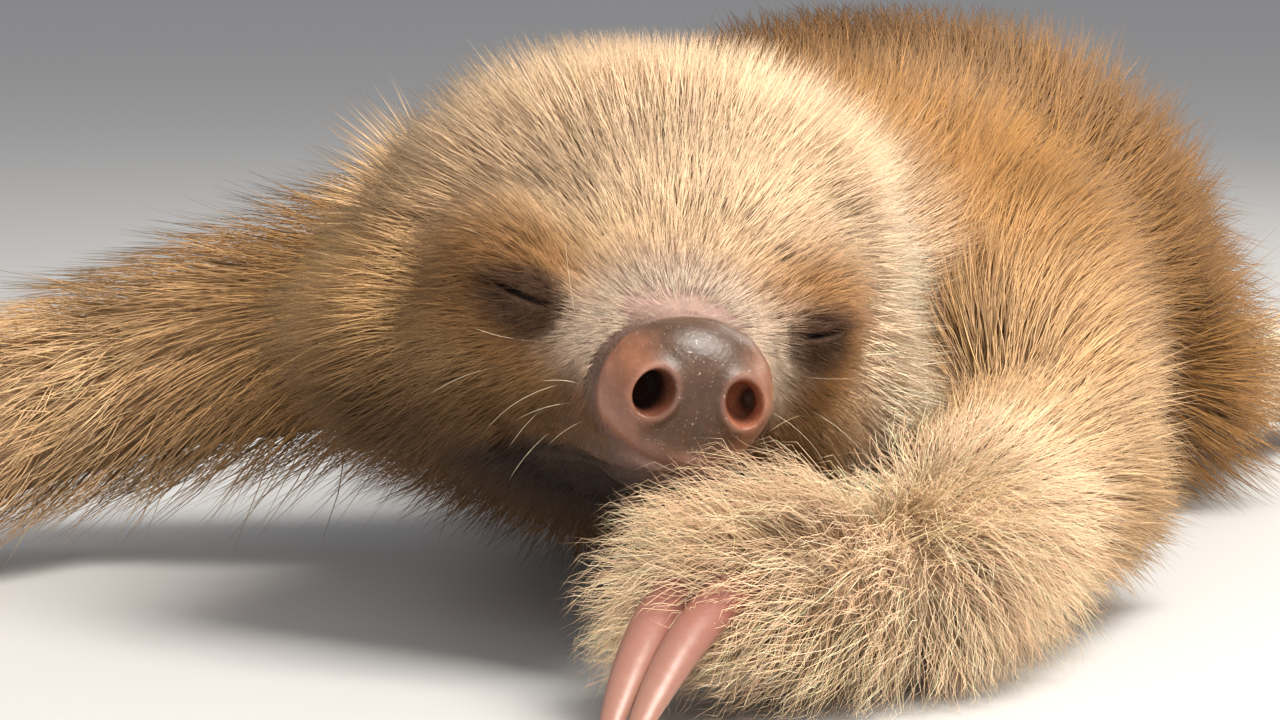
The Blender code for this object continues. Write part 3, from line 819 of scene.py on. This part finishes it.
for paw, (limb, knuckle_up, heading, count, length, step, close) in PAWS.items():
    x, y = LIMBS[limb][-1][:2]
    forward = np.array((math.cos(math.radians(heading)), math.sin(math.radians(heading)), 0))
    across = np.array((-forward[1], forward[0], 0))
    for index in range(count):
        aside = across * step * (index - (count - 1) / 2)
        base = np.array((x, y, knuckle_up)) + aside + forward * 1.0
        point = np.array((x, y, 0)) + aside * (1 - close) + forward * (length + 2.5)
        point[2] = 0.5
        rings, sides = 25, 20
        places, shares = [], []
        for i in range(rings):
            t = i / (rings - 1)
            middle_line = base + (point - base) * t + np.array((0, 0, CLAW_ARCH * 4 * t * (1 - t)))
            radius = CLAW_RADIUS * (1 - 0.2 * t - 0.62 * t**4) * (1 if i < rings - 1 else 0.5)
            for k in range(sides):
                angle = 2 * math.pi * k / sides
                tall = math.sin(angle) * radius * (1 if math.sin(angle) > 0 else CLAW_UNDERSIDE)
                wide = across * math.cos(angle) * radius * CLAW_WIDTH
                places.append(floor_place(*(middle_line + wide + np.array((0, 0, tall)))))
                shares.append(t)
        faces = []
        for low in range(0, (rings - 1) * sides, sides):
            for k in range(sides):
                after = (k + 1) % sides
                faces.append([low + k, low + after, low + sides + after, low + sides + k])
        faces += [list(range(sides))[::-1], list(range((rings - 1) * sides, rings * sides))]
        mesh = bpy.data.meshes.new(f"{paw}_horn_{index + 1}")
        mesh.from_pydata(places, [], faces)
        work = bmesh.new()
        work.from_mesh(mesh)
        bmesh.ops.recalc_face_normals(work, faces=work.faces[:])
        work.to_mesh(mesh)
        work.free()
        named_color(mesh, "along", np.repeat(np.array(shares)[:, None], 3, 1))
        claw = placed(mesh.name, mesh)
        mesh.shade_smooth()
        mesh.materials.append(horn)
        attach(claw, "root")
        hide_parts(f"{paw}_claw_{index + 1}")

# ---------------------------------------------------------------- coat of the face
# Short stiff hairs that stand away from the nose on the muzzle, and longer ones up the forehead and
# cheeks: greyish at the muzzle, dark round the eyes and on the jaw. Each rises from the skin.
rng = np.random.default_rng(11)
skin.data.calc_loop_triangles()
corners = numbers(skin.data.loop_triangles, "vertices", 3)
skin_points = mesh_points(skin.data)
skin_normals = mesh_normals(skin.data)
middles = skin_points[corners].mean(1)
sides_of = skin_points[corners[:, 1:]] - skin_points[corners[:, :1]]
areas = np.linalg.norm(np.cross(sides_of[:, 0], sides_of[:, 1]), axis=1) / 2


def unit(vectors):
    return vectors / np.maximum(np.linalg.norm(vectors, axis=1), 1e-9)[:, None]


def rooted(count, wanted):
    """Places on the skin and the skin's direction there, as close as is wanted at each face."""
    chance = areas * wanted
    chosen = rng.choice(len(areas), count, p=chance / chance.sum())
    a, b = rng.random((2, count))
    over = a + b > 1
    a[over], b[over] = 1 - a[over], 1 - b[over]
    share = np.stack((1 - a - b, a, b), 1)[:, :, None]
    return (skin_points[corners[chosen]] * share).sum(1), unit((skin_normals[corners[chosen]] * share).sum(1))


def lie_and_depth(points, normals):
    """The way the hair lies at each place, and how deep the coat is there in millimetres."""
    left, back, up = head_frame(points).T
    from_bridge = np.stack((left - NOSE_ASIDE, back - 12, up - 3), 1)
    head_way = unit(from_bridge) @ HEAD_TURN.T + np.array((0, 0, -0.25))
    underneath = rise(0.2, -0.6, normals[:, 2])
    trunk_way = np.stack((0 * left, 0 * left + 0.85, 0.1 - 0.5 * underneath), 1)
    on_head = rise(80, 50, back)[:, None]
    way = unit(head_way) * on_head + trunk_way * (1 - on_head)
    limb, _, limb_way, limb_depth = limb_place(points)
    way = unit(way) * (1 - limb)[:, None] + unit(limb_way) * limb[:, None]
    way = way - normals * (way * normals).sum(1)[:, None]
    depth = body_coat_depth(points) * (1 - limb) + limb_depth * on_floor(points) * limb
    depth = depth * (1 - 0.18 * rise(52, 62, points[:, 2] / MM) * rise(76, 96, back))
    return unit(way), depth


def unwrapped(points, middle, turn):
    """Each place on a map of the skin as wrapped round a ball: around its back axis, and along it."""
    offset = unit((points - middle) @ turn)
    around = np.arctan2(offset[:, 0], offset[:, 2]) / (2 * math.pi) + 0.5
    along = np.arccos(np.clip(-offset[:, 1], -1, 1)) / math.pi
    return np.stack((around, along), 1)


RING_STEPS = {
    # how far along a hair each of its rings lies, by the number of rings
    2: (0, 0.5),
    5: (0, 0.2, 0.42, 0.64, 0.84),
    7: (0, 0.14, 0.28, 0.43, 0.58, 0.72, 0.86),
}
ROOT_WIDTH, TAPER = 0.8, 0.55
TOP_MARGIN = 3 * MM
OFF_FLOOR = 0.0003
PATCH, MAP_MARGIN, MAP_SPAN = 0.003, 0.004, 0.988


def grown(name, start, middle, tip, normal, width, color, place, rings, darker, lighter, curl):
    """One mesh of closed three-sided tapered hairs, each bent from its root to its tip. On the map
    a hair is a small patch, with its root's end at the bottom."""
    count = len(start)
    steps = np.array(RING_STEPS[rings])
    swell = np.where(steps == 0, ROOT_WIDTH, (1 - steps) ** TAPER)
    wave = rng.uniform(0, 2 * math.pi, count)
    points = np.empty((count, rings * 3 + 1, 3))
    colors = np.empty((count, rings * 3 + 1, 3))
    for i, (t, size) in enumerate(zip(steps, swell)):
        centre_line = start * (1 - t) ** 2 + middle * 2 * t * (1 - t) + tip * t**2
        tangent = unit((middle - start) * (1 - t) + (tip - middle) * t)
        aside = unit(np.cross(tangent, normal))
        over = np.cross(aside, tangent)
        if curl:
            turn = wave + t * 5
            sway = t * curl * np.linalg.norm(tip - start, axis=1)
            outwards = aside * np.sin(turn)[:, None] + over * np.cos(turn)[:, None]
            centre_line = centre_line + outwards * sway[:, None]
        for k in range(3):
            angle = -2 * math.pi * k / 3 + 0.5
            ray = aside * math.cos(angle) + over * math.sin(angle) * 0.75
            points[:, i * 3 + k] = centre_line + ray * (width * size)[:, None]
            colors[:, i * 3 + k] = color * (darker + (lighter - darker) * t)
    points[:, -1] = tip
    ceiling = solids_high[2] - TOP_MARGIN
    over = np.maximum(points[:, :, 2] - ceiling, 0) / TOP_MARGIN
    points[:, :, 2] = np.minimum(points[:, :, 2], ceiling) + TOP_MARGIN * (1 - np.exp(-over))
    points[:, :, 2] = np.maximum(points[:, :, 2], OFF_FLOOR)
    colors[:, -1] = color * lighter
    faces = [(0, 2, 1)]
    places = [((0, 0), (1, 0), (0.5, 0.1))]
    heights = 0.1 + 0.9 * steps
    for i in range(rings):
        low = heights[i]
        for k in range(3):
            first, after = 3 * i + k, 3 * i + (k + 1) % 3
            near, far = k / 3, (k + 1) / 3
            if i == rings - 1:
                faces.append((first, after, 3 * rings))
                places.append(((near, low), (far, low), ((k + 0.5) / 3, 1.0)))
                continue
            high = heights[i + 1]
            faces += [(first, after, after + 3), (first, after + 3, first + 3)]
            places += [((near, low), (far, low), (far, high)), ((near, low), (far, high), (near, high))]
    faces = np.array(faces, np.int32)
    places = np.array(places)
    loops = (np.arange(count, dtype=np.int32)[:, None, None] * (rings * 3 + 1) + faces[None]).ravel()
    low, high = place.min(0), place.max(0)
    corner = MAP_MARGIN + (place - low) / np.maximum(high - low, 1e-6) * MAP_SPAN
    uv = corner[:, None, None, :] + places[None] * PATCH
    mesh = bpy.data.meshes.new(name)
    mesh.vertices.add(count * (rings * 3 + 1))
    mesh.vertices.foreach_set("co", points.astype(np.float32).ravel())
    mesh.loops.add(len(loops))
    mesh.loops.foreach_set("vertex_index", loops)
    mesh.polygons.add(len(loops) // 3)
    mesh.polygons.foreach_set("loop_start", np.arange(0, len(loops), 3, dtype=np.int32))
    mesh.update(calc_edges=True)
    mesh.uv_layers.new(name="OFBake").data.foreach_set("uv", uv.astype(np.float32).ravel())
    named_color(mesh, "coat_color", colors.reshape(-1, 3))
    mesh.shade_smooth()
    return placed(name, mesh)


def hair_material(name):
    """Fine silky hair: the colour stored on each hair, painted light and shade included, finely
    streaked and grained.
    """
    material, tree, surface = principled(name)
    grain = grained(tree, 900, 1, 0.6)
    value = ranged(tree, joined(tree, grain, grained(tree, 90, 1), "ADD"), 0.6, 1.4, 0.75, 1.25)
    streaked = joined(tree, painted_on(tree, "coat_color"), value, "MULTIPLY", "VectorMath")
    surfaced(tree, surface, streaked, ranged(tree, grain, 0, 1, 0.45, 0.7), grain, 0.2, 0.0001)
    surface.inputs["Specular IOR Level"].default_value = 0.22
    return material


HAIRS = 1.0
LOCK = 9
LOCK_REACH = 3.5 * MM
ROOTED = 0.3
SIDEWAYS = 0.22


def coat(name, material, hairs, wanted, pieces, *, width, lift, lay, wild, pull, shades, middle,
         turn=STRAIGHT, lengthen=1.0, spread=None, rings=2, curl=0):
    """Hairs on their roots, in pieces small enough to handle: bent to the lie, and drawn into locks.
    They rise from the skin at lift degrees and end at lay degrees from it, and shades are the
    strengths of their colour at root and tip."""
    count = int(hairs * HAIRS)
    root, normal = rooted(count, wanted)
    way, depth = lie_and_depth(root, normal)
    depth = depth * spread(root) if spread else depth
    bend = (math.sin(math.radians(lift)) + math.sin(math.radians(lay))) / 2
    length = depth / bend * rng.uniform(0.75, 1.15, count) * lengthen * MM
    way = unit(way + np.cross(normal, way) * rng.normal(0, SIDEWAYS, count)[:, None])
    first = math.sin(math.radians(lift)) * normal + math.cos(math.radians(lift)) * way
    last = math.sin(math.radians(lay)) * normal + math.cos(math.radians(lay)) * way
    first = unit(first + rng.normal(0, wild * 0.6, (count, 3)))
    last = unit(last + rng.normal(0, wild, (count, 3)))
    start = root - normal * ROOTED * MM
    bent = start + first * length[:, None] * 0.5
    tip = bent + last * length[:, None] * 0.5
    # locks: each hair's tip is drawn to that of the nearest leader
    leaders = rng.choice(count, max(count // LOCK, 1), replace=False)
    tree = KDTree(len(leaders))
    for i, leader in enumerate(leaders):
        tree.insert(root[leader], i)
    tree.balance()
    follows = leaders[[tree.find(Vector(p))[1] for p in root]]
    near = np.linalg.norm(root - root[follows], axis=1) < LOCK_REACH
    draw = (pull * rng.uniform(0.4, 1.0, count) * near)[:, None]
    tip = tip + (tip[follows] - tip) * draw
    bent = bent + (bent[follows] - bent) * draw * 0.35
    tone = rng.normal(1, 0.13, count) + rng.normal(0, 0.10, count)[follows]
    color = markings_and_painted_light(root) * np.clip(tone, 0.55, 1.5)[:, None]
    color *= 1 + rng.normal(0, 0.04, (count, 3)) * np.array((0.3, 0, 1))
    color = np.clip(color, 0.01, 0.9)
    thick = width * MM * rng.uniform(0.75, 1.2, count) * np.clip(length / MM / 6, 0.55, 1.1)
    place = unwrapped(root, middle, turn)
    order = rng.permutation(count)
    for i, some in enumerate(np.array_split(order, pieces)):
        piece = grown(f"{name}_{i + 1}", start[some], bent[some], tip[some], normal[some], thick[some],
                      color[some], place[some], rings, *shades, curl)
        piece.data.materials.append(material)
        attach(piece, "root")


face_hair = hair_material("face_hair")
left, back, up = head_frame(middles).T
reach = nose_distance(middles)
limb = limb_place(middles)[0]
pad_gap = np.sqrt(((left - NOSE_ASIDE) / 1.25) ** 2 + (up - 0.1) ** 2) + 3 * (back > 8.5)
off_pad = rise(3.6, 4.8, back) * rise(8.6, 9.6, pad_gap)
nose_gap = np.abs(left - NOSE_ASIDE)
bare_bridge = 1 - 0.95 * rise(15.5, 12.5, back) * rise(8.0, 5.5, nose_gap) * rise(13.5, 11.5, up) * (up > 0)
on_eye = (1 + 0.8 * rise(6, 4, eye_distance(middles))) * rise(0.4, 0.75, slit_gap(middles))
wanted = off_pad * bare_bridge * on_eye * rise(36, 27, reach) * (back < 60)
wanted = wanted * (1 - limb) * (1 - 0.55 * rise(16, 26, reach))
mouth_line = ridge(up - MOUTH_UP + 0.1 * np.abs(left), 0, 0.6) * (reach < 22)
wanted *= np.maximum(1 - 0.8 * mouth_line, 0) * (1 + 1.6 * rise(18, 12, reach) * rise(-9, -4, up))
head_middle = head_place(2, 42, 0)


def face_spread(points):
    """Shortest beside the nose, the lids and the lips."""
    reach = nose_distance(points)
    left, back, up = head_frame(points).T
    short = 1.2 + 0.5 * rise(18, 11, reach)
    lids = 0.1 * rise(6, 3.5, eye_distance(points)) + 0.4 * rise(1.8, 0.6, slit_gap(points))
    return short * (1 - 0.5 * rise(-4, -9, up) * rise(26, 20, reach)) * (1 - lids)


coat("coat_face", face_hair, 27000, wanted, 2, spread=face_spread, width=0.052,
     lift=40, lay=22, wild=0.10, pull=0.25, shades=(0.65, 1.12), middle=head_middle, turn=HEAD_TURN)

# ---------------------------------------------------------------- coat of the head
# Soft hair that rises from the forehead and crown and sweeps back over the cheeks, longest at the
# sides of the head.
body_hair = hair_material("body_hair")
facing_down = rise(0.35, 0.75, -skin_normals[corners[:, 0], 2])
wanted = rise(20, 30, reach) * rise(92, 70, back) * (1 - limb) * (1 - 0.7 * facing_down)
coat("coat_head", body_hair, 50000, wanted, 3, width=0.078,
     lift=44, lay=16, wild=0.10, pull=0.33, shades=(0.58, 1.15), middle=head_middle, turn=HEAD_TURN)

# ---------------------------------------------------------------- coat of the neck and trunk
# The longest and coarsest hair, in soft overlapping locks from the nape to the rump. It stands a
# little, lies back along the spine, and is pressed thin under the belly.
between = 1 + 3 * limb * (1 - limb)
wanted = rise(70, 86, back) * (1 - limb) * between * (1 - 0.75 * facing_down)
coat("coat_trunk", body_hair, 28000, wanted, 2, lengthen=0.9, width=0.125,
     lift=28, lay=6, wild=0.07, pull=0.4, shades=(0.6, 1.08), middle=floor_place(30, 160, 32))

# ---------------------------------------------------------------- coat of the limbs
# Shorter hair that runs down each limb and over its paw, where it curls round the claws. On the
# outstretched arm it is swept back towards the shoulder from a parting at the wrist.
limb_hair = hair_material("limb_hair")
x_mm, y_mm, _ = ((middles - BODY_SHIFT) / MM).T
near_arm = limb * (y_mm < 100) * (x_mm > 0)
paw = rise(25, 17, paw_distance(middles))
exposed = (1 - 0.6 * facing_down) * between
coat("coat_hand", limb_hair, 6000, near_arm * paw * exposed, 1,
     lengthen=1.15, width=0.066, lift=44, lay=15, wild=0.17, pull=0.55, shades=(0.42, 1.2),
     middle=floor_place(18, 0, 12), rings=5, curl=0.13)
coat("coat_arm", limb_hair, 13500, near_arm * (1.1 - paw) * exposed, 1,
     width=0.10, lift=36, lay=10, wild=0.12, pull=0.4, shades=(0.58, 1.1), middle=floor_place(45, 50, 14))
coat("coat_limbs", limb_hair, 15000, (limb - near_arm) * exposed, 1,
     width=0.105, lift=30, lay=8, wild=0.09, pull=0.35, shades=(0.58, 1.1), middle=floor_place(0, 140, 15))

# ---------------------------------------------------------------- whiskers and wisps
# A few long pale feeling hairs on the muzzle, brow and lips, and loose curling wisps over the
# knuckles and the wrist. Each is one bent hair rooted in the skin.
skin_tree = BVHTree.FromPolygons([tuple(p) for p in skin_points], [tuple(c) for c in corners.tolist()])


LONG_HAIR_RINGS = 7


def long_hairs(name, material, roots, ways, lengths, bends, radius, color, curl):
    """Single long hairs: each starts one way and bends round to another."""
    found = [skin_tree.find_nearest(Vector(root))[:2] for root in roots]
    start = np.array([place for place, _ in found])
    normal = np.array([facing for _, facing in found])
    lengths = np.array(lengths)[:, None] * MM
    middle = start + unit(np.array(ways)) * lengths * 0.5
    tip = middle + unit(np.array(ways) + np.array(bends)) * lengths * 0.5
    count = len(start)
    tone = np.clip(rng.normal(1, 0.12, count), 0.7, 1.3)[:, None]
    color = np.clip(np.tile(np.array(color), (count, 1)) * tone, 0, 0.95)
    place = unwrapped(start, head_middle, HEAD_TURN)
    made = grown(name, start - normal * ROOTED * MM, middle, tip, normal, np.full(count, radius * MM),
                 color, place, LONG_HAIR_RINGS, 0.8, 1.1, curl)
    made.data.materials.append(material)
    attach(made, "root")


WHISKERS = [
    # root left, back and up from the nose on the right side, way, length, and how it bends
    ((-14.2, 12, -2.9), (-1.0, -0.2, -0.3), 11, (0.3, 0.1, -0.9)),
    ((-15.5, 14, -7.2), (-0.6, -0.2, -0.6), 6, (0.1, 0.1, -0.5)),
    ((-12.0, 9, -2.0), (-1.0, -0.2, 0.2), 5, (0.0, 0.1, -0.5)),
    ((-14.5, 14, 1.2), (-1.0, -0.1, -0.1), 8.5, (0.1, 0.1, 0.35)),
    ((-10.5, 8, -6.0), (-0.9, -0.3, -0.4), 5, (0.2, 0.1, -0.6)),
    ((-9.0, 7, -12.0), (-0.5, -0.6, -0.7), 4.5, (0.1, 0.1, -0.3)),
    ((-19.0, 19, -3.0), (-1.0, 0.0, -0.3), 10, (0.1, 0.2, -0.6)),
    ((-11.4, 14, 5.0), (-0.35, -0.5, 0.75), 11, (0.0, 0.3, 0.5)),
    ((-19.5, 21, 11.0), (-0.8, -0.4, 0.5), 7, (-0.1, 0.4, -0.4)),
    ((-13.0, 15, -9.5), (-0.7, -0.3, -0.6), 7, (0.2, 0.1, -0.6)),
    ((-12.5, 10, -4.8), (-1.0, -0.3, -0.1), 7, (0.1, 0.2, -0.6)),
]
CHIN_UP = -11  # below this the chin's own hair stands instead
roots, ways, lengths, bends = [], [], [], []
for side in (-1, 1):
    for root, way, length, bend in WHISKERS[::1 if side < 0 else 3]:
        uneven = rng.uniform(0.85, 1.15)
        if root[2] < CHIN_UP:
            continue
        mirror = np.array((-side, 1, 1))
        roots.append(head_place(*(np.array(root) * mirror)))
        ways.append(HEAD_TURN @ (np.array(way) * mirror))
        bends.append(HEAD_TURN @ (np.array(bend) * mirror))
        lengths.append(length * uneven)
long_hairs("whiskers", face_hair, roots, ways, lengths, bends, 0.042, (0.80, 0.66, 0.46), 0.0)

WISPS = [
    # how many, their place over the floor and its spread, the way they start and its spread, how
    # they bend and its spread, and their shortest and longest: the knuckles', then the wrist's
    (150, (8, -10, 14), (6, 3.5, 2.0), (-0.7, -0.35, 0.55), 0.35, (-0.3, -0.2, -0.2), 0.5, (7, 12)),
    (260, (31, 11, 19), (4, 8, 2.5), (0.75, 0.1, 0.5), 0.3, (0.3, 0.2, -0.2), 0.4, (6, 10)),
]
roots, ways, lengths, bends = [], [], [], []
for count, spot, spot_spread, way, way_spread, bend, bend_spread, length_range in WISPS:
    for _ in range(count):
        roots.append(floor_place(*(np.array(spot) + rng.normal(0, 1, 3) * np.array(spot_spread))))
        ways.append(np.array(way) + rng.normal(0, way_spread, 3))
        bends.append(np.array(bend) + rng.normal(0, bend_spread, 3))
        lengths.append(rng.uniform(*length_range))
long_hairs("wisps", limb_hair, roots, ways, lengths, bends, 0.075, (0.80, 0.62, 0.36), 0.06)

# ---------------------------------------------------------------- floor and lights
# A wide pale matt floor, and three soft lamps over it: a warm key high on the animal's left, a
# weak one behind it that lights the coat's edge, and a fill from in front.
FLOOR_GREY = (0.52, 0.52, 0.515, 1)
SKY_STRENGTH = 0.4
KEY_POWER, RIM_POWER, FILL_POWER = 14, 2.2, 3.5
bpy.ops.mesh.primitive_plane_add(size=12, location=(0, 0, 0))
floor = bpy.context.object
floor.name = "floor"
pale = bpy.data.materials.new("pale_floor")
pale.use_nodes = True
pale.node_tree.nodes["Principled BSDF"].inputs["Base Color"].default_value = FLOOR_GREY
floor.data.materials.append(pale)
world = bpy.data.worlds.new("studio")
world.use_nodes = True
sky = world.node_tree.nodes["Background"]
sky.inputs["Color"].default_value = (0.95, 0.96, 1.0, 1)
sky.inputs["Strength"].default_value = SKY_STRENGTH
bpy.context.scene.world = world
bpy.context.scene.view_settings.view_transform = "Standard"


def lamp(name, place, aim, size, power, color):
    light = bpy.data.lights.new(name, "AREA")
    light.size = size
    light.energy = power
    light.color = color
    made = placed(name, light)
    made.location = place
    made.rotation_euler = (Vector(aim) - Vector(place)).to_track_quat("-Z", "Y").to_euler()
    return made


centre = NOSE + Vector((0, 0.03, 0))
key = lamp("key", centre + Vector((0.32, -0.3, 0.68)), centre, 0.45, KEY_POWER, (1.0, 0.95, 0.88))
rim = lamp("rim", centre + Vector((0.45, 0.5, 0.4)), centre, 0.35, RIM_POWER, (1.0, 0.92, 0.82))
fill = lamp("fill", centre + Vector((-0.1, -0.8, 0.3)), centre, 0.8, FILL_POWER, (1.0, 0.98, 0.95))
fill.visible_glossy = False
